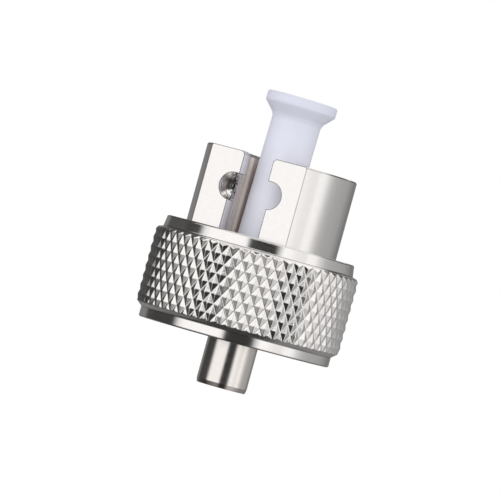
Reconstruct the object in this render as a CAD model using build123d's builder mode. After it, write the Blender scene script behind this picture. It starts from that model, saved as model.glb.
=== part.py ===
"""OTDR fibre adapter for a small-form plug, in millimetres, +Z up.

The origin is on the adapter's axis at the underside of its flange, the face that
sits on the instrument's port. The plug's slot and window face -Y.
"""

from build123d import *
from math import ceil, cos, pi, radians, sin, tan
import os

# Levels along the axis, counted from the seat face of the flange
flange_top = 1.4
nut_top = 4.0
nut_height = 9.0
body_top = 10.9
flat_bottom = 3.7
cavity_floor = 2.4
tube_end = -9.1
cap_top = 16.6

# Plug cavity, with the latch slot and window in its front wall
cavity_half_width = 2.33
cavity_back = 2.33
cavity_front = -3.55
cavity_corner = 0.3
front_wall = 1.28
entry_slot_width = 2.76
lower_slot_width = 3.74
window_width = 5.92
window_height = 2.35
window_below_top = 3.14
window_depth = 1.46
drill_point_deg = 118.0
mouth_chamfer = 0.24

# Adapter body
body_radius = 6.63
edge_break = 0.1
flat_edge_round = 0.09
flat_distance = front_wall - cavity_front

# Retaining ring in its groove above the nut's web
ring_section = 0.5
ring_axial_play = 0.08
ring_groove_depth = 0.4
ring_groove_gap = 0.02
ring_opening_deg = 24.0
ring_side_gap = 0.37

# Coupling nut, from its bore outwards
thread_radius = body_radius + ring_section + ring_side_gap
thread_lead_in = 0.3
nut_web_top = 2.8
nut_running_gap = 0.09
nut_wall = 1.5
flange_gap = 0.5
flange_radius = thread_radius - flange_gap
knurl_radius = thread_radius + nut_wall
knurl_depth = 0.2
knurl_starts = 58
knurl_helix_deg = 30.0
knurl_row_level = 1.89
knurl_turn_deg = -69.1
rim_step = 0.58
rim_taper = 0.13
rim_corner = 0.09
top_rim_height = 0.98
bottom_rim_height = 0.84
shoulder_step = 0.62
top_shoulder = 0.13
top_corner = 0.3
bottom_shoulder = 0.52

# Ferrule tube, pressed into the flange from below
ferrule_radius = 1.25
rear_sleeve_wall = 0.35
tube_sleeve_gap = 0.04
tube_wall = 0.57
tube_neck_step = 0.26
tube_neck_top = 0.9
tube_lip_step = 0.15
tube_lip_height = 0.5
tube_taper_height = 0.37
tube_taper_radial = 0.09

# Small split sleeve and its holder
small_ferrule_radius = 0.625
front_sleeve_wall = 0.2
sleeve_fit = 0.004
sleeve_slot = 0.35
sleeve_end_gap = 0.1
holder_sleeve_gap = 0.015
holder_wall = 0.59
holder_lip_step = 0.045
holder_lip_height = 0.35
holder_flange_height = 0.6
holder_top = 7.4
holder_lead_in = 0.15

# Locating pin under the flange
pin_radius = 0.5
pin_drop = 1.0
pin_depth = 1.0
pin_inset = 1.5
pin_angle_deg = 135.0
pin_lead_in = 0.12

# Dust cap, standing a little askew in the cavity
cap_barrel_radius = 2.15
cap_flange_radius = 3.09
cap_rim_height = 0.84
cap_cone_height = 0.84
cap_throat_step = 0.14
cap_throat_height = 0.34
cap_bore_gap = 0.17
cap_bore_top = 8.1
cap_corner = 0.12
cap_lean_deg = 1.1
cap_lean_towards_deg = 24.7

nut_bottom = nut_top - nut_height
knurl_top = nut_top - top_rim_height
knurl_bottom = nut_bottom + bottom_rim_height
rim_radius = knurl_radius - rim_step
rear_sleeve_radius = ferrule_radius + rear_sleeve_wall
tube_bore_radius = rear_sleeve_radius + tube_sleeve_gap
tube_lip_radius = rear_sleeve_radius - tube_lip_step
tube_radius = tube_bore_radius + tube_wall
tube_neck_radius = tube_radius - tube_neck_step
front_sleeve_radius = small_ferrule_radius + front_sleeve_wall
holder_bore_radius = front_sleeve_radius + holder_sleeve_gap
holder_lip_radius = front_sleeve_radius - holder_lip_step
holder_radius = holder_bore_radius + holder_wall
holder_bottom = tube_neck_top
holder_shoulder = holder_bottom + holder_flange_height
ring_bottom = nut_web_top + ring_axial_play
ring_groove_radius = body_radius - ring_groove_depth
pin_circle = flange_radius - pin_inset
over = body_radius

os.makedirs("parts", exist_ok=True)


def knurled_band(low, high):
    """Pointed diamonds where two sets of V grooves cross, as one closed solid.

    The corners sit on a grid of half pitches: every second one is a diamond's
    peak and the others are where two grooves cross.
    """
    step = pi / knurl_starts
    rise = step * knurl_radius / tan(radians(knurl_helix_deg))
    columns = 2 * knurl_starts
    rows_below = ceil((knurl_row_level - low) / rise) + 1
    rows = rows_below + ceil((high - knurl_row_level) / rise) + 1
    if rows % 2:
        rows = rows + 1

    def corner(i, j):
        peak = (i + j - rows_below) % 2 == 0
        radius = knurl_radius if peak else knurl_radius - knurl_depth
        angle = step * (i % columns) + radians(knurl_turn_deg)
        return Vector(radius * cos(angle), radius * sin(angle), knurl_row_level + rise * (j - rows_below))

    faces = []
    for j in range(rows):
        for i in range(columns):
            a, b = corner(i, j), corner(i + 1, j)
            c, d = corner(i + 1, j + 1), corner(i, j + 1)
            first_is_peak = (i + j - rows_below) % 2 == 0
            halves = ((a, b, d), (b, c, d)) if first_is_peak else ((a, b, c), (a, c, d))
            for half in halves:
                faces.append(Face(Wire.make_polygon(half, close=True)))
    for j in (0, rows):
        faces.append(Face(Wire.make_polygon([corner(i, j) for i in range(columns)], close=True)))
    return Solid(Shell(faces))


def faceted_turning(profile):
    """A solid round the axis with two flat facets to each knurl pitch.

    The profile lists the radius and level of each ring of corners, upwards.
    """
    step = pi / knurl_starts
    angles = [step * (i + 0.5) + radians(knurl_turn_deg) for i in range(2 * knurl_starts)]
    rings = [[Vector(radius * cos(a), radius * sin(a), level) for a in angles] for radius, level in profile]
    faces = [Face(Wire.make_polygon(rings[0], close=True)), Face(Wire.make_polygon(rings[-1], close=True))]
    for lower, upper in zip(rings, rings[1:]):
        for i in range(len(angles)):
            corners = (lower[i - 1], lower[i], upper[i], upper[i - 1])
            faces.append(Face(Wire.make_polygon(corners, close=True)))
    return Solid(Shell(faces))


def mouth_edges(part):
    """The edges of the cavity's and the entry slot's mouth on the top face."""
    edges = []
    for edge in part.edges().filter_by_position(Axis.Z, body_top - edge_break / 2, body_top + edge_break / 2):
        centre = edge.center()
        beside = abs(centre.X) < cavity_half_width + edge_break / 2
        behind_flat = -flat_distance + edge_break / 2 < centre.Y < cavity_back + edge_break / 2
        if beside and behind_flat:
            edges.append(edge)
    return edges


def flat_side_edges(part):
    """The two upright edges where the flat meets the round body."""
    half_width = (body_radius**2 - flat_distance**2) ** 0.5
    edges = []
    for edge in part.edges().filter_by(Axis.Z):
        centre = edge.center()
        if abs(abs(centre.X) - half_width) < edge_break and abs(centre.Y + flat_distance) < edge_break:
            edges.append(edge)
    return edges


def split_sleeve(inner, outer, low, high):
    """A ceramic sleeve with one straight slot along its back."""
    with BuildPart() as sleeve:
        with BuildSketch(Plane.XY.offset(low)):
            Circle(outer)
            Circle(inner, mode=Mode.SUBTRACT)
            with Locations((0, (inner + outer) / 2)):
                Rectangle(sleeve_slot, outer, mode=Mode.SUBTRACT)
        extrude(amount=high - low)
    return sleeve.part


# Adapter body: turned blank with flange and ring groove
with BuildPart() as adapter_body:
    with BuildSketch(Plane.XZ):
        with BuildLine():
            Polyline(
                (0, 0),
                (flange_radius, 0),
                (flange_radius, flange_top),
                (body_radius, flange_top),
                (body_radius, ring_bottom - ring_groove_gap),
                (ring_groove_radius, ring_bottom - ring_groove_gap),
                (ring_groove_radius, ring_bottom + ring_section + ring_groove_gap),
                (body_radius, ring_bottom + ring_section + ring_groove_gap),
                (body_radius, body_top - edge_break),
                (body_radius - edge_break, body_top),
                (0, body_top),
                close=True,
            )
        make_face()
    revolve(axis=Axis.Z)
    # Front flat, from just inside the nut to the top
    with BuildSketch(Plane.XY.offset(flat_bottom)):
        with Locations((0, -flat_distance - over)):
            Rectangle(4 * over, 2 * over)
    extrude(amount=body_top, mode=Mode.SUBTRACT)
    fillet(flat_side_edges(adapter_body), flat_edge_round)
    # Plug cavity
    with BuildSketch(Plane.XY.offset(cavity_floor)):
        with Locations((0, (cavity_back + cavity_front) / 2)):
            RectangleRounded(2 * cavity_half_width, cavity_back - cavity_front, cavity_corner)
    extrude(amount=body_top, mode=Mode.SUBTRACT)
    # Narrow entry slot above the window and wider slot below it
    with BuildSketch(Plane.XZ.offset(flat_distance + over)):
        with Locations((0, body_top)):
            Rectangle(entry_slot_width, 2 * window_below_top)
        with Locations((0, (body_top - window_below_top + flat_bottom) / 2)):
            Rectangle(lower_slot_width, body_top - window_below_top - flat_bottom)
    extrude(amount=-(over + front_wall + cavity_corner), mode=Mode.SUBTRACT)
    # Window, drilled at both ends and milled out between them
    with BuildSketch(Plane.XZ.offset(flat_distance + over)):
        with Locations((0, body_top - window_below_top)):
            SlotOverall(window_width, window_height)
    extrude(amount=-(over + window_depth), mode=Mode.SUBTRACT)
    window_floor = Plane.XZ.offset(flat_distance - window_depth)
    point_depth = window_height / 2 / tan(radians(drill_point_deg / 2))
    for side in (-1, 1):
        drilled_at = (side * (window_width - window_height) / 2, body_top - window_below_top)
        with BuildSketch(window_floor):
            with Locations(drilled_at):
                Circle(window_height / 2)
        with BuildSketch(window_floor.offset(-point_depth)):
            with Locations(drilled_at):
                Circle(edge_break / 5)
        loft(mode=Mode.SUBTRACT)
    chamfer(mouth_edges(adapter_body), mouth_chamfer)
    # Bores for the tube's neck and the sleeve holder, and the pin's hole
    with BuildSketch(Plane.XY):
        Circle(tube_neck_radius)
    extrude(amount=holder_shoulder, mode=Mode.SUBTRACT)
    with BuildSketch(Plane.XY):
        Circle(holder_radius)
    extrude(amount=body_top, mode=Mode.SUBTRACT)
    with BuildSketch(Plane.XY):
        with PolarLocations(pin_circle, 1, start_angle=pin_angle_deg):
            Circle(pin_radius)
    extrude(amount=pin_depth, mode=Mode.SUBTRACT)

# Coupling nut: knurled band, plain rims, web at the top and bore for the thread
with BuildPart() as coupling_nut:
    add(knurled_band(knurl_bottom, knurl_top))
    shoulders = (
        (knurl_radius - shoulder_step, knurl_bottom),
        (knurl_radius, knurl_bottom + bottom_shoulder),
        (knurl_radius + edge_break, knurl_bottom + bottom_shoulder + edge_break),
        (knurl_radius + edge_break, knurl_top - top_shoulder - top_corner - edge_break),
        (knurl_radius, knurl_top - top_shoulder - top_corner),
        (knurl_radius - knurl_depth, knurl_top - top_shoulder),
        (knurl_radius - shoulder_step, knurl_top),
    )
    add(faceted_turning(shoulders), mode=Mode.INTERSECT)
    with BuildSketch(Plane.XZ):
        with BuildLine():
            Polyline(
                (0, nut_bottom),
                (rim_radius - rim_corner, nut_bottom),
                (rim_radius, nut_bottom + rim_corner),
                (rim_radius, knurl_bottom + edge_break / 4),
                (rim_radius - edge_break, knurl_bottom + edge_break),
                (rim_radius - edge_break, knurl_top - edge_break),
                (rim_radius, knurl_top - edge_break / 4),
                (rim_radius - rim_taper, nut_top - rim_corner),
                (rim_radius - rim_taper - rim_corner, nut_top),
                (0, nut_top),
                close=True,
            )
        make_face()
    revolve(axis=Axis.Z)
    with BuildSketch(Plane.XZ):
        with BuildLine():
            Polyline(
                (0, nut_bottom - over),
                (thread_radius + thread_lead_in + over, nut_bottom - over),
                (thread_radius, nut_bottom + thread_lead_in),
                (thread_radius, flange_top),
                (body_radius + nut_running_gap, flange_top),
                (body_radius + nut_running_gap, nut_web_top),
                (thread_radius, nut_web_top),
                (thread_radius, nut_top - edge_break),
                (thread_radius + edge_break + over, nut_top + over),
                (0, nut_top + over),
                close=True,
            )
        make_face()
    revolve(axis=Axis.Z, mode=Mode.SUBTRACT)

# Retaining ring: open ring of square wire sprung into the body's groove
with BuildPart() as retaining_ring:
    with BuildSketch(Plane.XY.offset(ring_bottom)):
        Circle(body_radius + ring_section)
        Circle(ring_groove_radius + ring_groove_gap, mode=Mode.SUBTRACT)
        with BuildLine():
            half_opening = radians(ring_opening_deg / 2)
            reach = 2 * body_radius
            Polyline(
                (0, 0),
                (reach * sin(half_opening), reach * cos(half_opening)),
                (-reach * sin(half_opening), reach * cos(half_opening)),
                close=True,
            )
        make_face(mode=Mode.SUBTRACT)
    extrude(amount=ring_section)

# Ferrule tube: neck in the flange, open bore with a lip that keeps the sleeve
with BuildPart() as ferrule_tube:
    with BuildSketch(Plane.XZ):
        with BuildLine():
            Polyline(
                (tube_lip_radius, tube_end),
                (tube_radius - tube_taper_radial, tube_end),
                (tube_radius, tube_end + tube_taper_height),
                (tube_radius, 0),
                (tube_neck_radius, 0),
                (tube_neck_radius, tube_neck_top),
                (tube_bore_radius, tube_neck_top),
                (tube_bore_radius, tube_end + tube_lip_height),
                (tube_lip_radius, tube_end + tube_lip_height),
                close=True,
            )
        make_face()
    revolve(axis=Axis.Z)

# Split sleeves: the large one in the tube and the small one in its holder
rear_split_sleeve = split_sleeve(
    ferrule_radius - sleeve_fit,
    rear_sleeve_radius,
    tube_end + tube_lip_height,
    tube_neck_top - sleeve_end_gap,
)
front_split_sleeve = split_sleeve(
    small_ferrule_radius - sleeve_fit,
    front_sleeve_radius,
    holder_bottom + holder_lip_height,
    holder_top - holder_lip_height - sleeve_end_gap,
)

# Holder: flange under the cavity floor, then a tube up into the cavity
with BuildPart() as sleeve_holder:
    with BuildSketch(Plane.XZ):
        with BuildLine():
            Polyline(
                (holder_lip_radius, holder_bottom),
                (tube_neck_radius, holder_bottom),
                (tube_neck_radius, holder_shoulder),
                (holder_radius, holder_shoulder),
                (holder_radius, holder_top - holder_lead_in),
                (holder_radius - holder_lead_in, holder_top),
                (holder_lip_radius, holder_top),
                (holder_lip_radius, holder_top - holder_lip_height),
                (holder_bore_radius, holder_top - holder_lip_height),
                (holder_bore_radius, holder_bottom + holder_lip_height),
                (holder_lip_radius, holder_bottom + holder_lip_height),
                close=True,
            )
        make_face()
    revolve(axis=Axis.Z)

# Locating pin
with BuildPart() as locating_pin:
    with BuildSketch(Plane.XY.offset(pin_depth)):
        with PolarLocations(pin_circle, 1, start_angle=pin_angle_deg):
            Circle(pin_radius)
    extrude(amount=-(pin_depth + pin_drop))
    chamfer(locating_pin.edges().group_by(Axis.Z)[0], pin_lead_in)

# Dust cap: barrel hollow over the holder, cone and flange, on its leaning axis
cap_lift = cap_barrel_radius * sin(radians(cap_lean_deg))
lean = Plane(
    origin=(0, 0, cavity_floor + cap_lift),
    x_dir=(cos(radians(cap_lean_towards_deg)), sin(radians(cap_lean_towards_deg)), -tan(radians(cap_lean_deg))),
    z_dir=(
        sin(radians(cap_lean_deg)) * cos(radians(cap_lean_towards_deg)),
        sin(radians(cap_lean_deg)) * sin(radians(cap_lean_towards_deg)),
        cos(radians(cap_lean_deg)),
    ),
)
cap_height = cap_top - cavity_floor - cap_lift
cap_throat = cap_height - cap_rim_height - cap_cone_height
cap_hollow = cap_bore_top - cavity_floor
cap_bore_radius = holder_radius + cap_bore_gap
with BuildPart(lean) as dust_cap:
    with BuildSketch(Plane(lean.origin, x_dir=lean.x_dir, z_dir=-lean.y_dir)):
        with BuildLine():
            Polyline(
                (cap_bore_radius, 0),
                (cap_barrel_radius, 0),
                (cap_barrel_radius, cap_throat - cap_throat_height),
                (cap_barrel_radius + cap_throat_step, cap_throat),
                (cap_flange_radius, cap_height - cap_rim_height),
                (cap_flange_radius, cap_height - cap_corner),
                (cap_flange_radius - cap_corner, cap_height),
                (0, cap_height),
                (0, cap_hollow),
                (cap_bore_radius, cap_hollow),
                close=True,
            )
        make_face()
    revolve(axis=Axis(lean.origin, lean.z_dir))

pieces = {
    "adapter_body": adapter_body.part,
    "coupling_nut": coupling_nut.part,
    "retaining_ring": retaining_ring.part,
    "ferrule_tube": ferrule_tube.part,
    "rear_split_sleeve": rear_split_sleeve,
    "sleeve_holder": sleeve_holder.part,
    "front_split_sleeve": front_split_sleeve,
    "locating_pin": locating_pin.part,
    "dust_cap": dust_cap.part,
}
for name, shape in pieces.items():
    shape.label = name
    export_step(shape, f"parts/{name}.step")
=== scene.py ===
"""Dressing, light and camera for the OTDR fibre adapter.

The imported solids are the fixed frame. This script gives each piece its finish, adds the
fine thread inside the coupling nut, and sets the studio and the camera. Metres throughout,
in the frame's own axes: +Z up the adapter's axis, -Y out through the latch slot.
"""

import logging
from dataclasses import dataclass
from enum import Enum
from functools import cached_property
from math import cos, pi, radians, sin, sqrt

import bmesh
import bpy
from mathutils import Matrix, Vector


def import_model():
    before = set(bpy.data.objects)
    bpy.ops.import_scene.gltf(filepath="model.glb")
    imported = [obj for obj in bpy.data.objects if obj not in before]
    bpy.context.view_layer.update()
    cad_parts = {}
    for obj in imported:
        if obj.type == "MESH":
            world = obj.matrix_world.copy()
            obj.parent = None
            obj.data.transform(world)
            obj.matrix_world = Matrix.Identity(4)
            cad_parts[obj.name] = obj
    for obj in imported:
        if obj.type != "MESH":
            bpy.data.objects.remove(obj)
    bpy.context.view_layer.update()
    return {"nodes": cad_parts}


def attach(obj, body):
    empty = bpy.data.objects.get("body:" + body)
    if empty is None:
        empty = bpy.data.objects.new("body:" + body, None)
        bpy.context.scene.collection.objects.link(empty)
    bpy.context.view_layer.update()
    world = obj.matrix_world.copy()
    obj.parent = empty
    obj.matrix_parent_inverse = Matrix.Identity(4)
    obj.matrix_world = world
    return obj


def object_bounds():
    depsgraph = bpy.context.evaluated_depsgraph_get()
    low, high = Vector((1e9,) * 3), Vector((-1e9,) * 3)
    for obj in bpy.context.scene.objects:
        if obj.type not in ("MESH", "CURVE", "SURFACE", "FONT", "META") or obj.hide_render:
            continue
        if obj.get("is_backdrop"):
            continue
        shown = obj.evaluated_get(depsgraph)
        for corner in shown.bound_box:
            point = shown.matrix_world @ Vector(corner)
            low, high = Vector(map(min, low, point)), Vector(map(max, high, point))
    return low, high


log = logging.getLogger("fibre_adapter")

MM = 0.001
IMAGE_PX = 500
BEVEL_SAMPLES = 12

Colour = tuple[float, float, float]
Tree = bpy.types.NodeTree
Node = bpy.types.Node
Socket = bpy.types.NodeSocket
Value = Socket | float


class Sum(Enum):
    """What a maths node works out."""

    ADD = "ADD"
    SUBTRACT = "SUBTRACT"
    MULTIPLY = "MULTIPLY"
    DIVIDE = "DIVIDE"
    POWER = "POWER"
    ROOT = "SQRT"
    SIZE = "ABSOLUTE"
    ANGLE = "ARCTAN2"


class Place(Enum):
    """Which coordinates a node tree reads: a piece's own, or the world's direction."""

    OWN = "Object"
    DIRECTION = "Generated"


def feed_value(tree: Tree, value: Value, slot: Socket) -> None:
    """Link a socket to an input, or set the input to a number.

    Args:
        tree: The node tree of both.
        value: The socket or the number.
        slot: The input.
    """
    if isinstance(value, Socket):
        tree.links.new(value, slot)
    else:
        slot.default_value = value


def feed_colour(tree: Tree, colour: Colour | Socket, slot: Socket) -> None:
    """Link a colour's socket to an input, or set the input to a colour.

    Args:
        tree: The node tree of both.
        colour: The colour, or its socket.
        slot: The input.
    """
    if isinstance(colour, Socket):
        tree.links.new(colour, slot)
    else:
        slot.default_value = (*colour, 1.0)


def maths(tree: Tree, operation: Sum, first: Value, second: Value = 0.0) -> Socket:
    """Add a maths node and feed its inputs.

    Args:
        tree: The node tree it goes in.
        operation: What it works out.
        first: A socket or a number.
        second: A socket or a number.

    Returns:
        The node's value socket.
    """
    node = tree.nodes.new("ShaderNodeMath")
    node.operation = operation.value
    feed_value(tree, first, node.inputs[0])
    feed_value(tree, second, node.inputs[1])
    return node.outputs[0]


def product(tree: Tree, *masks: Value) -> Socket:
    """Multiply masks, so that the result is 1 only where they all are.

    Args:
        tree: The node tree it goes in.
        masks: Two or more masks.

    Returns:
        The product's socket.
    """
    result = masks[0]
    for mask in masks[1:]:
        result = maths(tree, Sum.MULTIPLY, result, mask)
    return result


def distance(tree: Tree, first: Socket, second: Socket) -> Socket:
    """Work out the length of a vector from its two parts.

    Args:
        tree: The node tree it goes in.
        first: One part.
        second: The other part.

    Returns:
        The length's socket.
    """
    squares = [maths(tree, Sum.POWER, maths(tree, Sum.SIZE, part), 2.0) for part in (first, second)]
    return maths(tree, Sum.ROOT, maths(tree, Sum.ADD, *squares))


def split_place(tree: Tree, place: Place = Place.OWN) -> Node:
    """Read coordinates and split them in three.

    Args:
        tree: The node tree it goes in.
        place: Which coordinates.

    Returns:
        The node with the outputs X, Y and Z.
    """
    source = tree.nodes.new("ShaderNodeTexCoord")
    split = tree.nodes.new("ShaderNodeSeparateXYZ")
    tree.links.new(source.outputs[place.value], split.inputs[0])
    return split


def step(tree: Tree, value: Socket, off: Value, on: Value) -> Socket:
    """A soft step from 0 to 1, kept within that range.

    Args:
        tree: The node tree it goes in.
        value: The value that is stepped.
        off: Where the result is 0.
        on: Where the result is 1.

    Returns:
        The result's socket.
    """
    node = tree.nodes.new("ShaderNodeMapRange")
    feed_value(tree, off, node.inputs["From Min"])
    feed_value(tree, on, node.inputs["From Max"])
    tree.links.new(value, node.inputs["Value"])
    return node.outputs[0]


def noise(tree: Tree, place: Socket, scale: Value, detail: float, roughness: float = 0.5) -> Socket:
    """Add a noise texture.

    Args:
        tree: The node tree it goes in.
        place: The coordinates it is laid out on.
        scale: Its grains per unit of the coordinates.
        detail: How many finer layers it has.
        roughness: How strong the finer layers are.

    Returns:
        The noise's value socket.
    """
    node = tree.nodes.new("ShaderNodeTexNoise")
    node.inputs["Detail"].default_value = detail
    node.inputs["Roughness"].default_value = roughness
    feed_value(tree, scale, node.inputs["Scale"])
    tree.links.new(place, node.inputs["Vector"])
    return node.outputs["Fac"]


def joined(tree: Tree, *parts: Socket) -> Socket:
    """Join values to one vector.

    Args:
        tree: The node tree it goes in.
        parts: Its X, its Y and, where it has one, its Z.

    Returns:
        The vector's socket.
    """
    node = tree.nodes.new("ShaderNodeCombineXYZ")
    for part, slot in zip(parts, node.inputs):
        tree.links.new(part, slot)
    return node.outputs[0]


def mix_colours(tree: Tree, fac: Socket, low: Colour | Socket, high: Colour | Socket) -> Socket:
    """Mix two colours by a value that changes over the surface.

    Args:
        tree: The node tree it goes in.
        fac: The value, 0 for low and 1 for high.
        low: Colour at 0, or its socket.
        high: Colour at 1, or its socket.

    Returns:
        The mixed colour's socket.
    """
    node = tree.nodes.new("ShaderNodeMix")
    node.data_type = "RGBA"
    tree.links.new(fac, node.inputs["Factor"])
    feed_colour(tree, low, node.inputs["A"])
    feed_colour(tree, high, node.inputs["B"])
    return node.outputs["Result"]


def spread_values(tree: Tree, fac: Socket, low: float, high: float) -> Socket:
    """Stretch a value from 0..1 to low..high.

    Args:
        tree: The material's node tree.
        fac: The value to stretch.
        low: Result at 0.
        high: Result at 1.

    Returns:
        The stretched value's socket.
    """
    return maths(tree, Sum.ADD, maths(tree, Sum.MULTIPLY, fac, high - low), low)


def soft_normal(tree: Tree, radius: Value) -> Socket:
    """The surface's normal with its edges rounded.

    Args:
        tree: The node tree it goes in.
        radius: The edges' radius, in metres.

    Returns:
        The normal's socket.
    """
    node = tree.nodes.new("ShaderNodeBevel")
    node.samples = BEVEL_SAMPLES
    feed_value(tree, radius, node.inputs["Radius"])
    return node.outputs["Normal"]


def bump(tree: Tree, height: Socket, depth: float, under: Socket) -> Socket:
    """Lay a height on a surface normal.

    Args:
        tree: The material's node tree.
        height: The height's socket, 0..1.
        depth: The depth it stands for, in metres.
        under: The normal it is laid on.

    Returns:
        The new normal's socket.
    """
    node = tree.nodes.new("ShaderNodeBump")
    node.inputs["Strength"].default_value = 1.0
    node.inputs["Distance"].default_value = depth
    tree.links.new(height, node.inputs["Height"])
    tree.links.new(under, node.inputs["Normal"])
    return node.outputs["Normal"]


def new_group(name: str, inputs: dict[str, float], outputs: tuple[str, ...]) -> tuple[Tree, Node, Node]:
    """Start a shader node group with named sockets.

    Args:
        name: The group's name.
        inputs: Input name to its default value.
        outputs: Output names.

    Returns:
        The group, its input node and its output node.
    """
    group = bpy.data.node_groups.new(name, "ShaderNodeTree")
    for socket_name, default in inputs.items():
        socket = group.interface.new_socket(socket_name, in_out="INPUT", socket_type="NodeSocketFloat")
        socket.default_value = default
    for socket_name in outputs:
        group.interface.new_socket(socket_name, in_out="OUTPUT", socket_type="NodeSocketFloat")
    return group, group.nodes.new("NodeGroupInput"), group.nodes.new("NodeGroupOutput")


def place_group(tree: Tree, group: Tree, **values: float) -> Node:
    """Put a node group in a material with its own values.

    Args:
        tree: The material's node tree.
        group: The shared group.
        values: Socket name, with underscores for spaces, to its value here.

    Returns:
        The group node.
    """
    node = tree.nodes.new("ShaderNodeGroup")
    node.node_tree = group
    for name, value in values.items():
        node.inputs[name.replace("_", " ")].default_value = value
    return node


@dataclass
class SharedEffects:
    """The node groups that more than one finish uses, each built once."""

    line_detail: float = 3.0
    line_roughness: float = 0.6
    line_drift: float = 0.6
    grain_detail: float = 4.0
    face_agrees: float = 0.998
    edge_agrees: float = 0.93

    @cached_property
    def tool_lines(self) -> Tree:
        """Fine tool marks round the axis: parallel lines of uneven depth, as a height.

        Returns:
            The group "Tool lines".
        """
        group, start, end = new_group(
            "Tool lines", {"Lines per metre": 20000.0, "Drift": self.line_drift}, ("Height",)
        )
        place = split_place(group)
        turn = maths(group, Sum.ANGLE, place.outputs["Y"], place.outputs["X"])
        level = maths(group, Sum.MULTIPLY, place.outputs["Z"], start.outputs["Lines per metre"])
        drift = maths(group, Sum.MULTIPLY, turn, start.outputs["Drift"])
        lines = noise(group, joined(group, level, drift), 1.0, self.line_detail, self.line_roughness)
        group.links.new(lines, end.inputs["Height"])
        return group

    @cached_property
    def fine_grain(self) -> Tree:
        """Even, soft unevenness in all directions, as a height and a mask.

        Returns:
            The group "Fine grain".
        """
        group, start, end = new_group(
            "Fine grain", {"Grains per metre": 8000.0, "Contrast": 1.0}, ("Height", "Mask")
        )
        place = group.nodes.new("ShaderNodeTexCoord")
        grains = noise(
            group, place.outputs["Object"], start.outputs["Grains per metre"], self.grain_detail
        )
        centred = maths(group, Sum.SUBTRACT, grains, 0.5)
        spread = maths(group, Sum.MULTIPLY, centred, start.outputs["Contrast"])
        group.links.new(grains, end.inputs["Height"])
        group.links.new(maths(group, Sum.ADD, spread, 0.5), end.inputs["Mask"])
        return group

    @cached_property
    def sharp_edge_mask(self) -> Tree:
        """The sharp edges, where a well rounded normal leaves the face's own, as a mask for the painted
        edge shade and the knurl's crests.

        Returns:
            The group "Worn edges".
        """
        group, start, end = new_group("Sharp edge mask", {"Reach": 0.14 * MM}, ("Mask",))
        shape = group.nodes.new("ShaderNodeNewGeometry")
        agree = group.nodes.new("ShaderNodeVectorMath")
        agree.operation = "DOT_PRODUCT"
        group.links.new(soft_normal(group, start.outputs["Reach"]), agree.inputs[0])
        group.links.new(shape.outputs["Normal"], agree.inputs[1])
        edges = step(group, agree.outputs["Value"], self.face_agrees, self.edge_agrees)
        group.links.new(edges, end.inputs["Mask"])
        return group

    @cached_property
    def level_step(self) -> Tree:
        """A soft step between two levels of the object's own height, as a mask.

        Returns:
            The group "Level step".
        """
        group, start, end = new_group("Level step", {"Off": 0.0, "On": 1.0}, ("Mask",))
        level = split_place(group).outputs["Z"]
        group.links.new(step(group, level, start.outputs["Off"], start.outputs["On"]), end.inputs["Mask"])
        return group


EFFECTS = SharedEffects()


def new_material(name: str) -> tuple[bpy.types.Material, Tree, Node]:
    """Start a material.

    Args:
        name: The material's name.

    Returns:
        The material, its node tree and its shader.
    """
    material = bpy.data.materials.new(name)
    material.use_nodes = True
    return material, material.node_tree, material.node_tree.nodes["Principled BSDF"]


def feed_shader(tree: Tree, shader: Node, colour: Socket, rough: Socket, normal: Socket) -> None:
    """Link a finish to its shader.

    Args:
        tree: The material's node tree.
        shader: The shader.
        colour: The colour's socket.
        rough: The roughness's socket.
        normal: The normal's socket.
    """
    tree.links.new(colour, shader.inputs["Base Color"])
    tree.links.new(rough, shader.inputs["Roughness"])
    tree.links.new(normal, shader.inputs["Normal"])


@dataclass(frozen=True)
class Zone:
    """A tone that comes in between two levels."""

    off: float
    on: float
    tone: Colour

    def laid_on(self, tree: Tree, colour: Socket) -> Socket:
        """Lay the tone over a colour.

        Args:
            tree: The material's node tree.
            colour: The colour's socket.

        Returns:
            The new colour's socket.
        """
        share = place_group(tree, EFFECTS.level_step, Off=self.off, On=self.on).outputs["Mask"]
        return mix_colours(tree, share, colour, self.tone)


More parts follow.
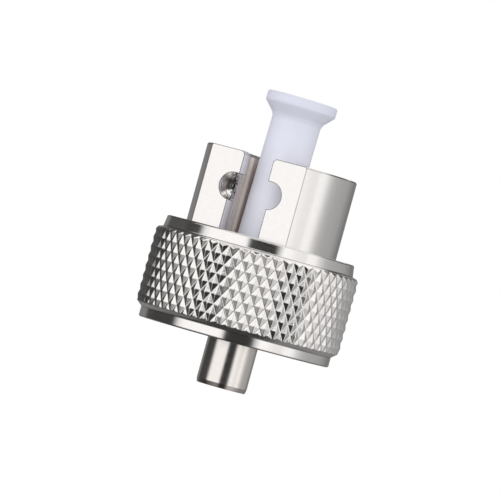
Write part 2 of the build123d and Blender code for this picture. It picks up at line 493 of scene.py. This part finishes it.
@dataclass(frozen=True)
class Cavity:
    """The space for the plug, whose walls are duller and warmer than the outside, with painted light and
    shade.

    Its walls go from near_tone through a lit streak, a painted highlight that stands for the cap's
    reflection, to deep_shade_tone, painted shade deeper in, and its mouth is the slot in the front wall.
    """

    half_width: float = 2.33 * MM
    front: float = -1.95 * MM
    front_blend: float = 0.45 * MM
    floor_level: float = 2.4 * MM
    blend: float = 0.05 * MM
    near_tone: Colour = (0.72, 0.64, 0.57)
    near_to: float = -1.40 * MM
    # painted highlight: a light streak that stands for the cap's reflection on the walls
    lit_tone: Colour = (1.0, 0.93, 0.84)
    lit_from: float = -1.10 * MM
    lit_to: float = -0.80 * MM
    # painted shade: the walls darker deeper in
    deep_shade_tone: Colour = (0.60, 0.51, 0.46)
    deep_from: float = -0.45 * MM
    # painted shade on the slot's side walls, darker with depth
    mouth_shade_tone: Colour = (0.50, 0.46, 0.45)
    mouth_half_width: float = 1.95 * MM
    mouth_from: float = -4.75 * MM
    mouth_to: float = -3.55 * MM
    # painted shade on the mouth's chamfer
    rim_shade_tone: Colour = (0.13, 0.12, 0.115)
    rim_level: float = 10.70 * MM
    rim_width: float = 0.28 * MM
    extra_roughness: float = 0.35

    def inside(self, tree: Tree) -> Socket:
        """Find what lies inside the cavity, by the object's own coordinates.

        Args:
            tree: The material's node tree.

        Returns:
            A value, 1 on the cavity's walls and floor and 0 elsewhere.
        """
        place = split_place(tree)
        y = place.outputs["Y"]
        limit = self.half_width + self.blend
        sides = step(tree, maths(tree, Sum.SIZE, place.outputs["X"]), limit + self.blend, limit)
        back = step(tree, y, limit + self.blend, limit)
        front = step(tree, y, self.front - self.front_blend, self.front + self.front_blend)
        floor = step(tree, place.outputs["Z"], self.floor_level - self.blend, self.floor_level)
        return product(tree, sides, back, front, floor)

    def wall_tone(self, tree: Tree) -> Socket:
        """The walls' colour, with a lighter streak of painted highlight before painted shade makes it
        darker with depth.

        Args:
            tree: The material's node tree.

        Returns:
            The colour's socket.
        """
        y = split_place(tree).outputs["Y"]
        lit = step(tree, y, self.near_to, self.lit_from)
        deep = step(tree, y, self.lit_to, self.deep_from)
        tone = mix_colours(tree, lit, self.near_tone, self.lit_tone)
        return mix_colours(tree, deep, tone, self.deep_shade_tone)

    def mouth(self, tree: Tree) -> Socket:
        """Find where painted shade goes on the slot's side walls in the front wall, more so with depth.

        Args:
            tree: The material's node tree.

        Returns:
            A value, 0 at the flat and 1 at the slot's inner end.
        """
        place = split_place(tree)
        y = place.outputs["Y"]
        limit = self.mouth_half_width
        sides = step(tree, maths(tree, Sum.SIZE, place.outputs["X"]), limit + self.blend, limit)
        depth = step(tree, y, self.mouth_from, self.mouth_to)
        before = step(tree, y, self.mouth_to + 2 * self.blend, self.mouth_to + self.blend)
        return product(tree, sides, depth, before)

    def rim(self, tree: Tree) -> Socket:
        """Find the chamfer round the cavity's mouth, which takes a near-black painted shade.

        Args:
            tree: The material's node tree.

        Returns:
            A value, 1 on the chamfer and 0 elsewhere.
        """
        place = split_place(tree)
        y = place.outputs["Y"]
        limit = self.half_width + self.rim_width
        sides = step(tree, maths(tree, Sum.SIZE, place.outputs["X"]), limit, limit - self.blend)
        back = step(tree, y, limit, limit - self.blend)
        behind = step(tree, y, self.mouth_to, self.mouth_to + self.blend)
        above = step(tree, place.outputs["Z"], self.rim_level - self.blend, self.rim_level)
        return product(tree, sides, back, behind, above)

    def laid_on(self, tree: Tree, colour: Socket, inside: Socket) -> Socket:
        """Lay the cavity's tones, with their painted highlight and painted shade, over a colour.

        Args:
            tree: The material's node tree.
            colour: The colour's socket.
            inside: The socket that says what lies inside the cavity.

        Returns:
            The new colour's socket.
        """
        # painted shade: the slot's side walls darken with depth
        colour = mix_colours(tree, self.mouth(tree), colour, self.mouth_shade_tone)
        # painted highlight and painted shade on the cavity's walls
        colour = mix_colours(tree, inside, colour, self.wall_tone(tree))
        # painted shade: near-black chamfer round the mouth
        return mix_colours(tree, self.rim(tree), colour, self.rim_shade_tone)


@dataclass(frozen=True)
class DrilledEnds:
    """Ring marks in the window's round ends, left by the drill, with near-black painted shade laid along
    them deeper in.
    """

    across: float = 1.785 * MM
    level: float = 7.76 * MM
    reach: float = 1.16 * MM
    front: float = -4.80 * MM
    back: float = -2.6 * MM
    blend: float = 0.04 * MM
    rings_per_mm: float = 7.0
    ring_detail: float = 1.0
    ring_drift: float = 0.22 * MM
    depth: float = 20.0e-6
    # painted shade laid along the rings
    ring_shade_tone: Colour = (0.035, 0.034, 0.032)
    shade_from: float = -4.25 * MM
    shade_blend: float = 0.3 * MM
    shade_within: float = 2.50 * MM
    within_blend: float = 0.08 * MM
    shade_off: float = 0.46
    shade_on: float = 0.52

    def rings(self, tree: Tree) -> tuple[Socket, Socket]:
        """The rings, as a height and as a mask of dark marks that take painted shade, both 0 outside the
        drilled ends.

        Args:
            tree: The material's node tree.

        Returns:
            The height's socket and the mask's socket.
        """
        place = split_place(tree)
        y = place.outputs["Y"]
        sideways = maths(tree, Sum.SIZE, place.outputs["X"])
        aside = maths(tree, Sum.SUBTRACT, sideways, self.across)
        above = maths(tree, Sum.SUBTRACT, place.outputs["Z"], self.level)
        reach = distance(tree, aside, above)
        drift = maths(tree, Sum.MULTIPLY, maths(tree, Sum.ANGLE, aside, above), self.ring_drift)
        ripple = noise(tree, joined(tree, reach, y, drift), self.rings_per_mm / MM, self.ring_detail)
        drilled = product(
            tree,
            step(tree, reach, self.reach + self.blend, self.reach),
            step(tree, y, self.front, self.front + self.blend),
            step(tree, y, self.back, self.back - self.blend),
        )
        # painted shade: near-black marks along the rings, deeper in the drilled ends
        low, high = self.shade_within - self.within_blend, self.shade_within + self.within_blend
        marks = product(
            tree,
            step(tree, y, self.shade_from, self.shade_from + self.shade_blend),
            step(tree, sideways, high, low),
            step(tree, ripple, self.shade_off, self.shade_on),
        )
        return product(tree, drilled, ripple), product(tree, drilled, marks)


@dataclass(frozen=True)
class KnurlSkin:
    """The knurl's own skin: brighter than the turned rims, with the small dents of rolling."""

    beyond: float
    blend: float = 0.05 * MM
    less_roughness: float = 0.02
    crest_roughness: float = 0.04
    grains_per_metre: float = 9000.0
    grain_depth: float = 3.0e-6

    def laid_on(
        self, tree: Tree, rough: Socket, normal: Socket, edges: Socket
    ) -> tuple[Socket, Socket, Socket]:
        """Lay the knurl's skin over the nut's plate, beyond a radius of the nut's axis.

        Args:
            tree: The material's node tree.
            rough: The roughness's socket.
            normal: The normal's socket.
            edges: The sharp edges' mask.

        Returns:
            The new roughness, the new normal and the mask of the edges off the knurl, which take the
            painted edge shade.
        """
        place = split_place(tree)
        reach = distance(tree, place.outputs["X"], place.outputs["Y"])
        turned = step(tree, reach, self.beyond + self.blend, self.beyond)
        knurled = maths(tree, Sum.SUBTRACT, 1.0, turned)
        dents = place_group(tree, EFFECTS.fine_grain, Grains_per_metre=self.grains_per_metre)
        normal = bump(tree, product(tree, knurled, dents.outputs["Height"]), self.grain_depth, normal)
        crests = maths(tree, Sum.MULTIPLY, edges, self.crest_roughness)
        change = maths(tree, Sum.SUBTRACT, crests, self.less_roughness)
        rough = maths(tree, Sum.ADD, rough, product(tree, knurled, change))
        return rough, normal, product(tree, edges, turned)


@dataclass(frozen=True)
class PlatedMetal:
    """Bright nickel plate over a turned or milled face.

    A knurl takes its crests from the edges, so a finish with one has an edge shade tone too: painted
    shade along the sharp edges.
    """

    name: str
    light: Colour = (0.91, 0.885, 0.868)
    dark: Colour = (0.865, 0.842, 0.826)
    roughness_low: float = 0.10
    roughness_high: float = 0.22
    lines_per_mm: float = 14.0
    line_depth: float = 0.15e-6
    grains_per_metre: float = 2500.0
    grain_contrast: float = 1.6
    grain_depth: float = 0.10e-6
    edge_radius: float = 0.03 * MM
    # painted shade: a dark tone laid along the sharp edges
    edge_shade_tone: Colour | None = None
    edge_reach: float = 0.14 * MM
    end: Zone | None = None
    cavity: Cavity | None = None
    knurl: KnurlSkin | None = None
    drilled: DrilledEnds | None = None

    def material(self) -> bpy.types.Material:
        """Build the material.

        Returns:
            The finished material.
        """
        material, tree, shader = new_material(self.name)
        lines = place_group(tree, EFFECTS.tool_lines, Lines_per_metre=self.lines_per_mm / MM)
        grain = place_group(
            tree, EFFECTS.fine_grain, Grains_per_metre=self.grains_per_metre, Contrast=self.grain_contrast
        )
        colour = mix_colours(tree, grain.outputs["Mask"], self.dark, self.light)
        rough = spread_values(tree, lines.outputs["Height"], self.roughness_low, self.roughness_high)
        lined = bump(tree, lines.outputs["Height"], self.line_depth, soft_normal(tree, self.edge_radius))
        normal = bump(tree, grain.outputs["Height"], self.grain_depth, lined)
        if self.end is not None:
            colour = self.end.laid_on(tree, colour)
        if self.cavity is None:
            shader.inputs["Metallic"].default_value = 1.0
        else:
            inside = self.cavity.inside(tree)
            # the cavity's tones carry painted highlight and painted shade
            colour = self.cavity.laid_on(tree, colour, inside)
            duller = maths(tree, Sum.MULTIPLY, inside, self.cavity.extra_roughness)
            rough = maths(tree, Sum.ADD, rough, duller)
            tree.links.new(maths(tree, Sum.SUBTRACT, 1.0, inside), shader.inputs["Metallic"])
        if self.edge_shade_tone is not None:
            edges = place_group(tree, EFFECTS.sharp_edge_mask, Reach=self.edge_reach).outputs["Mask"]
            if self.knurl is not None:
                rough, normal, edges = self.knurl.laid_on(tree, rough, normal, edges)
            # painted shade: a dark tone laid along the sharp edges
            colour = mix_colours(tree, edges, colour, self.edge_shade_tone)
        if self.drilled is not None:
            height, marks = self.drilled.rings(tree)
            normal = bump(tree, height, self.drilled.depth, normal)
            # painted shade: near-black rings deeper in the drilled ends
            colour = mix_colours(tree, marks, colour, self.drilled.ring_shade_tone)
        feed_shader(tree, shader, colour, rough, normal)
        return material


@dataclass(frozen=True)
class MouldedPlastic:
    """A pale moulded skin, also used for the ground ceramic."""

    name: str
    light: Colour
    dark: Colour
    roughness_low: float = 0.42
    roughness_high: float = 0.52
    grains_per_metre: float = 900.0
    grain_contrast: float = 1.2
    grain_depth: float = 1.2e-6
    edge_radius: float = 0.05 * MM
    zones: tuple[Zone, ...] = ()

    def material(self) -> bpy.types.Material:
        """Build the material.

        Returns:
            The finished material.
        """
        material, tree, shader = new_material(self.name)
        grain = place_group(
            tree, EFFECTS.fine_grain, Grains_per_metre=self.grains_per_metre, Contrast=self.grain_contrast
        )
        colour = mix_colours(tree, grain.outputs["Mask"], self.dark, self.light)
        for zone in self.zones:
            colour = zone.laid_on(tree, colour)
        rough = spread_values(tree, grain.outputs["Height"], self.roughness_low, self.roughness_high)
        soft = soft_normal(tree, self.edge_radius)
        normal = bump(tree, grain.outputs["Height"], self.grain_depth, soft)
        feed_shader(tree, shader, colour, rough, normal)
        return material


def link_object(name: str, data: bpy.types.ID) -> bpy.types.Object:
    """Add an object to the scene.

    Args:
        name: Its name.
        data: Its mesh, light or camera.

    Returns:
        The object.
    """
    thing = bpy.data.objects.new(name, data)
    bpy.context.scene.collection.objects.link(thing)
    return thing


def dress(node: bpy.types.Object, material: bpy.types.Material) -> None:
    """Give every material slot of a piece the same material.

    Args:
        node: The piece.
        material: Its new material.
    """
    if not node.material_slots:
        node.data.materials.append(material)
    for slot in node.material_slots:
        slot.material = material


@dataclass
class Receptacle:
    """The fixed pieces: body, ring, tube, sleeves, holder and locating pin."""

    nodes: dict[str, bpy.types.Object]
    body_finish: PlatedMetal = PlatedMetal(
        "Nickel plate, body",
        roughness_low=0.10,
        roughness_high=0.20,
        lines_per_mm=9.0,
        edge_radius=0.06 * MM,
        # painted shade along the body's sharp edges
        edge_shade_tone=(0.10, 0.095, 0.09),
        cavity=Cavity(),
        drilled=DrilledEnds(),
    )
    tube_finish: PlatedMetal = PlatedMetal(
        "Nickel plate, tube",
        light=(0.885, 0.84, 0.80),
        dark=(0.84, 0.797, 0.757),
        roughness_low=0.14,
        roughness_high=0.24,
        lines_per_mm=16.0,
        edge_radius=0.05 * MM,
        end=Zone(-8.68 * MM, -8.76 * MM, (0.60, 0.56, 0.53)),
    )
    ring_finish: PlatedMetal = PlatedMetal(
        "Spring steel",
        light=(0.66, 0.66, 0.67),
        dark=(0.52, 0.52, 0.54),
        roughness_low=0.22,
        roughness_high=0.38,
    )
    ceramic: MouldedPlastic = MouldedPlastic(
        "Ground zirconia",
        light=(0.93, 0.92, 0.89),
        dark=(0.88, 0.87, 0.84),
        roughness_low=0.18,
        roughness_high=0.26,
    )

    def dress(self) -> None:
        """Give each fixed piece its finish."""
        for finish, names in (
            (self.body_finish, ("adapter_body",)),
            (self.tube_finish, ("ferrule_tube", "sleeve_holder")),
            (self.ring_finish, ("retaining_ring", "locating_pin")),
            (self.ceramic, ("rear_split_sleeve", "front_split_sleeve")),
        ):
            material = finish.material()
            for name in names:
                dress(self.nodes[name], material)
            log.info("receptacle: %s dressed", " and ".join(names))


@dataclass
class CouplingNut:
    """The knurled nut and the fine thread in its bore."""

    nodes: dict[str, bpy.types.Object]
    thread_radius: float = 7.5 * MM
    thread_pitch: float = 0.75 * MM
    thread_depth: float = 0.40 * MM
    thread_low: float = -4.55 * MM
    thread_high: float = -0.6 * MM
    root_sinks: float = 0.02 * MM
    crest_share: float = 1 / 6
    fade_turns: float = 0.5
    steps_per_turn: int = 96
    finish: PlatedMetal = PlatedMetal(
        "Nickel plate, nut",
        roughness_low=0.07,
        roughness_high=0.16,
        lines_per_mm=11.0,
        line_depth=0.25e-6,
        grain_depth=0.25e-6,
        edge_radius=0.14 * MM,
        # painted shade along the sharp edges of the nut's turned rims
        edge_shade_tone=(0.16, 0.155, 0.15),
        edge_reach=0.12 * MM,
        knurl=KnurlSkin(beyond=8.46 * MM),
    )

    def thread(self) -> bpy.types.Object:
        """Build the port thread as one helical ridge on the bore, which rises out of it at both ends.

        Returns:
            The ridge, riding on the nut.
        """
        turns = (self.thread_high - self.thread_low - self.thread_pitch) / self.thread_pitch
        last = int(turns * self.steps_per_turn)
        root = self.thread_radius + self.root_sinks
        crest = self.thread_radius - self.thread_depth
        half = self.thread_pitch / 2
        flat = half * self.crest_share
        profile = ((root, -half), (crest, -flat), (crest, flat), (root, half))
        mesh = bmesh.new()
        sections = []
        for index in range(last + 1):
            angle = 2 * pi * index / self.steps_per_turn
            from_end = min(index, last - index) / self.steps_per_turn
            fade = min(1.0, from_end / self.fade_turns)
            level = self.thread_low + half + self.thread_pitch * index / self.steps_per_turn
            section = []
            for radius, rise in profile:
                reach = root - (root - radius) * fade
                section.append(mesh.verts.new((reach * cos(angle), reach * sin(angle), level + rise)))
            sections.append(section)
        for here, there in zip(sections, sections[1:]):
            for corner in range(len(profile)):
                after = (corner + 1) % len(profile)
                mesh.faces.new((here[corner], here[after], there[after], there[corner]))
        mesh.faces.new(sections[0])
        mesh.faces.new(reversed(sections[-1]))
        bmesh.ops.recalc_face_normals(mesh, faces=mesh.faces)
        data = bpy.data.meshes.new("port_thread")
        mesh.to_mesh(data)
        mesh.free()
        ridge = link_object("port_thread", data)
        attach(ridge, "nut")
        return ridge

    def dress(self) -> None:
        """Give the nut and its thread their finish."""
        metal = self.finish.material()
        dress(self.nodes["coupling_nut"], metal)
        dress(self.thread(), metal)
        log.info("coupling nut dressed, thread of pitch %.2f mm added", self.thread_pitch / MM)


@dataclass
class DustCap:
    """The pale plastic cap in the plug's mouth.

    Its barrel gets lighter downwards, which stands in for light that the plastic carries into
    the slot, and its upper part gets darker towards the rim, which is painted shade.
    """

    nodes: dict[str, bpy.types.Object]
    finish: MouldedPlastic = MouldedPlastic(
        "Lavender white plastic",
        light=(0.79, 0.80, 0.90),
        dark=(0.76, 0.77, 0.88),
        edge_radius=0.34 * MM,
        zones=(
            # painted light: the barrel lighter downwards
            Zone(11.5 * MM, 7.5 * MM, (0.885, 0.90, 1.0)),
            # painted shade: the upper part darker towards the rim
            Zone(11.5 * MM, 15.5 * MM, (0.66, 0.67, 0.775)),
        ),
    )

    def dress(self) -> None:
        """Give the cap its finish."""
        dress(self.nodes["dust_cap"], self.finish.material())
        log.info("dust cap dressed")


@dataclass(frozen=True)
class Tone:
    """How bright the studio is at one bearing from the camera, in degrees."""

    bearing: float
    level: float


@dataclass(frozen=True)
class Border:
    """A soft border across the studio, by the direction's upward share.

    It goes from off to on, and lean is how much it sinks to the camera's right.
    """

    off: float
    on: float
    lean: float = 0.0

    def mask(self, tree: Tree, right: Socket, up: Socket) -> Socket:
        """Find the directions beyond the border.

        Args:
            tree: The world's node tree.
            right: The direction's share to the camera's right.
            up: The direction's upward share.

        Returns:
            A value, 0 at off and 1 at on.
        """
        level = maths(tree, Sum.ADD, up, maths(tree, Sum.MULTIPLY, right, self.lean))
        return step(tree, level, self.off, self.on)


@dataclass(frozen=True)
class Patch:
    """A round patch of one tone in the studio, by where its middle is and how wide it is.

    The bearing, reach and blur are in degrees, and rise is the middle's upward share.
    """

    bearing: float
    rise: float
    reach: float
    blur: float
    level: float

    def mask(self, tree: Tree, ahead: Socket, right: Socket, up: Socket) -> Socket:
        """Find the directions that the patch covers.

        Args:
            tree: The world's node tree.
            ahead: The direction's share towards the camera.
            right: The direction's share to the camera's right.
            up: The direction's upward share.

        Returns:
            A value, 1 on the patch and 0 off it.
        """
        level = sqrt(1.0 - self.rise**2)
        turn = radians(self.bearing)
        sideways = maths(
            tree,
            Sum.ADD,
            maths(tree, Sum.MULTIPLY, ahead, level * cos(turn)),
            maths(tree, Sum.MULTIPLY, right, level * sin(turn)),
        )
        near = maths(tree, Sum.ADD, sideways, maths(tree, Sum.MULTIPLY, up, self.rise))
        return step(tree, near, cos(radians(self.reach + self.blur)), cos(radians(self.reach)))


def grey(level: float) -> Colour:
    """A colour without a hue."""
    return (level, level, level)


def tone_ring(tree: Tree, share: Socket, tones: tuple[Tone, ...]) -> Socket:
    """Lay tones on a ramp whose 0..1 is a full turn from straight behind.

    Args:
        tree: The world's node tree.
        share: The direction's share of the turn.
        tones: The tones, by rising bearing from -180.

    Returns:
        The socket with the tone at that bearing.
    """
    node = tree.nodes.new("ShaderNodeValToRGB")
    ramp = node.color_ramp
    ramp.interpolation = "LINEAR"
    stops = (*tones, Tone(180.0, tones[0].level))
    while len(ramp.elements) < len(stops):
        ramp.elements.new(0.5)
    for element, tone in zip(ramp.elements, stops):
        element.position = (tone.bearing + 180.0) / 360.0
        element.color = (*grey(tone.level), 1.0)
    tree.links.new(share, node.inputs[0])
    return node.outputs[0]


def level_share(tree: Tree, place: Node, x: float, y: float) -> Socket:
    """The direction's share along a level bearing.

    Args:
        tree: The world's node tree.
        place: The node with the direction's parts.
        x: The bearing's X.
        y: The bearing's Y.

    Returns:
        The share's socket.
    """
    part_x = maths(tree, Sum.MULTIPLY, place.outputs["X"], x)
    part_y = maths(tree, Sum.MULTIPLY, place.outputs["Y"], y)
    return maths(tree, Sum.ADD, part_x, part_y)


def background(tree: Tree, colour: Colour | Socket, strength: float = 1.0) -> Socket:
    """Add a background shader.

    Args:
        tree: The world's node tree.
        colour: Its colour, or the colour's socket.
        strength: Its strength.

    Returns:
        The shader's socket.
    """
    node = tree.nodes.new("ShaderNodeBackground")
    feed_colour(tree, colour, node.inputs["Color"])
    node.inputs["Strength"].default_value = strength
    return node.outputs[0]


def mix_shaders(tree: Tree, fac: Socket, low: Socket, high: Socket) -> Socket:
    """Mix two shaders.

    Args:
        tree: The node tree it goes in.
        fac: The value, 0 for low and 1 for high.
        low: Shader at 0.
        high: Shader at 1.

    Returns:
        The mixed shader's socket.
    """
    node = tree.nodes.new("ShaderNodeMixShader")
    for source, slot in zip((fac, low, high), node.inputs):
        tree.links.new(source, slot)
    return node.outputs[0]


@dataclass
class Studio:
    """A white studio with dark and bright panels all round for the metal to reflect.

    The floor's reach and drop are in heights of the adapter. The lamp's power is in watts, its
    turn from the camera in degrees and the rest in metres.
    """

    camera_bearing: float
    tones: tuple[Tone, ...] = (
        Tone(-180.0, 0.20),
        Tone(-138.0, 0.22),
        Tone(-129.0, 0.05),
        Tone(-80.0, 0.05),
        Tone(-71.5, 0.85),
        Tone(-64.0, 1.07),
        Tone(-20.0, 1.08),
        Tone(-15.5, 1.00),
        Tone(-11.0, 0.035),
        Tone(20.5, 0.035),
        Tone(25.0, 0.62),
        Tone(31.0, 1.10),
        Tone(40.0, 1.04),
        Tone(48.0, 0.92),
        Tone(58.0, 0.88),
        Tone(64.0, 1.04),
        Tone(73.0, 1.00),
        Tone(81.0, 0.70),
        Tone(90.0, 0.49),
        Tone(100.0, 0.42),
        Tone(120.0, 0.38),
        Tone(138.0, 0.30),
        Tone(150.0, 0.20),
    )
    low_tones: tuple[Tone, ...] = (
        Tone(-180.0, 0.27),
        Tone(-120.0, 0.10),
        Tone(-81.0, 0.03),
        Tone(-66.0, 0.12),
        Tone(-52.0, 0.18),
        Tone(-44.0, 0.26),
        Tone(-20.0, 0.30),
        Tone(-11.0, 0.03),
        Tone(18.0, 0.03),
        Tone(26.0, 0.48),
        Tone(36.0, 0.66),
        Tone(56.0, 0.64),
        Tone(70.0, 0.36),
        Tone(84.0, 0.27),
        Tone(120.0, 0.20),
    )
    patches: tuple[Patch, ...] = (
        Patch(-128.0, 0.55, 31.0, 5.0, 0.08),
        Patch(130.0, 0.53, 17.0, 6.0, 0.12),
        Patch(-41.0, 0.907, 8.0, 10.0, 0.65),
        Patch(9.0, 0.926, 6.0, 9.0, 0.10),
    )
    upper: Border = Border(0.365, 0.40, lean=-0.10)
    ceiling: float = 1.06
    lower: Border = Border(-0.12, -0.46, lean=0.05)
    nadir: Border = Border(-0.87, -0.95)
    ground: float = 0.05
    plain_light: float = 0.95
    floor_reach: float = 5.0
    floor_drop: float = 1.2
    floor_tone: float = 0.9
    floor_roughness: float = 0.9
    lamp_size: float = 0.5
    lamp_power: float = 0.9
    lamp_away: float = 0.6
    lamp_height: float = 0.22
    lamp_turn: float = -12.0

    def panels(self, tree: Tree) -> Socket:
        """Lay out the panels by direction.

        Args:
            tree: The world's node tree.

        Returns:
            The socket with the tone in each direction.
        """
        place = split_place(tree, Place.DIRECTION)
        up = place.outputs["Z"]
        bearing = radians(self.camera_bearing)
        ahead = level_share(tree, place, sin(bearing), -cos(bearing))
        right = level_share(tree, place, cos(bearing), sin(bearing))
        turn = maths(tree, Sum.ANGLE, right, ahead)
        share = maths(tree, Sum.ADD, maths(tree, Sum.DIVIDE, turn, 2 * pi), 0.5)
        tone = tone_ring(tree, share, self.tones)
        tone = mix_colours(tree, self.upper.mask(tree, right, up), tone, grey(self.ceiling))
        for patch in self.patches:
            tone = mix_colours(tree, patch.mask(tree, ahead, right, up), tone, grey(patch.level))
        low_tone = tone_ring(tree, share, self.low_tones)
        tone = mix_colours(tree, self.lower.mask(tree, right, up), tone, low_tone)
        return mix_colours(tree, self.nadir.mask(tree, right, up), tone, grey(self.ground))

    def world(self) -> None:
        """Build the world: white to the camera, panels in reflections, plain light elsewhere."""
        world = bpy.data.worlds.new("Studio")
        bpy.context.scene.world = world
        world.use_nodes = True
        tree = world.node_tree
        tree.nodes.clear()
        plain = background(tree, grey(1.0), self.plain_light)
        reflected = background(tree, self.panels(tree))
        white = background(tree, grey(1.0))
        rays = tree.nodes.new("ShaderNodeLightPath")
        lit = mix_shaders(tree, rays.outputs["Is Glossy Ray"], plain, reflected)
        seen = mix_shaders(tree, rays.outputs["Is Camera Ray"], lit, white)
        end = tree.nodes.new("ShaderNodeOutputWorld")
        tree.links.new(seen, end.inputs["Surface"])

    def floor(self) -> None:
        """Lay a small pale floor well below the adapter, which a port would hold up."""
        low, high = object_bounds()
        height = high[2] - low[2]
        data = bpy.data.meshes.new("floor")
        mesh = bmesh.new()
        bmesh.ops.create_grid(mesh, x_segments=1, y_segments=1, size=self.floor_reach * height)
        mesh.to_mesh(data)
        mesh.free()
        floor = link_object("floor", data)
        floor.location.z = low[2] - self.floor_drop * height
        floor.visible_glossy = False
        material, tree, shader = new_material("Pale floor")
        feed_colour(tree, grey(self.floor_tone), shader.inputs["Base Color"])
        shader.inputs["Roughness"].default_value = self.floor_roughness
        dress(floor, material)
        floor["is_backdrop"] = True

    def lamp(self) -> None:
        """Hang one large soft lamp up and to the front left, hidden from reflections."""
        light = bpy.data.lights.new("soft lamp", "AREA")
        light.shape = "DISK"
        light.size = self.lamp_size
        light.energy = self.lamp_power
        lamp = link_object("soft lamp", light)
        bearing = radians(self.camera_bearing + self.lamp_turn)
        lamp.location = (self.lamp_away * sin(bearing), -self.lamp_away * cos(bearing), self.lamp_height)
        lamp.rotation_euler = (-lamp.location).to_track_quat("-Z", "Y").to_euler()
        lamp.visible_glossy = False

    def build(self) -> None:
        """Set the world, the floor and the lamp."""
        self.world()
        self.floor()
        self.lamp()
        log.info("studio built with %d tones", len(self.tones) + len(self.low_tones))


@dataclass
class PhotoCamera:
    """The camera that gives the photograph's frame.

    The bearing and the lean are in degrees, distance_px in pixels of px_size metres.
    """

    bearing: float = 24.7
    lean: float = 15.4
    px_size: float = 0.0857 * MM
    distance_px: float = 4300.0
    eye_level: float = 0.8 * MM
    aim_right: float = -0.70 * MM
    aim_level: float = 2.94 * MM
    sensor_mm: float = 36.0
    clip_start: float = 0.01

    def build(self) -> None:
        """Add the camera and make it the scene's own."""
        data = bpy.data.cameras.new("camera")
        data.sensor_fit = "HORIZONTAL"
        data.sensor_width = self.sensor_mm
        data.lens = self.distance_px / IMAGE_PX * self.sensor_mm
        data.clip_start = self.clip_start
        camera = link_object("camera", data)
        turn = radians(self.bearing)
        away = Vector((sin(turn), -cos(turn), 0.0))
        right = Vector((cos(turn), sin(turn), 0.0))
        place = away * self.distance_px * self.px_size + Vector((0, 0, self.eye_level))
        aim = right * self.aim_right + Vector((0, 0, self.aim_level))
        look = (aim - place).to_track_quat("-Z", "Y").to_matrix().to_4x4()
        roll = Matrix.Rotation(radians(self.lean), 4, "Z")
        camera.matrix_world = Matrix.Translation(place) @ look @ roll
        bpy.context.scene.camera = camera
        log.info("camera at bearing %.1f degrees", self.bearing)


def main() -> None:
    """Build each class in order."""
    logging.basicConfig(level=logging.INFO, format="%(name)s: %(message)s")
    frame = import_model()
    nodes = frame["nodes"]
    Receptacle(nodes).dress()
    CouplingNut(nodes).dress()
    DustCap(nodes).dress()
    camera = PhotoCamera()
    Studio(camera_bearing=camera.bearing).build()
    camera.build()
    bpy.context.scene.view_settings.view_transform = "Standard"


if __name__ == "__main__":
    main()
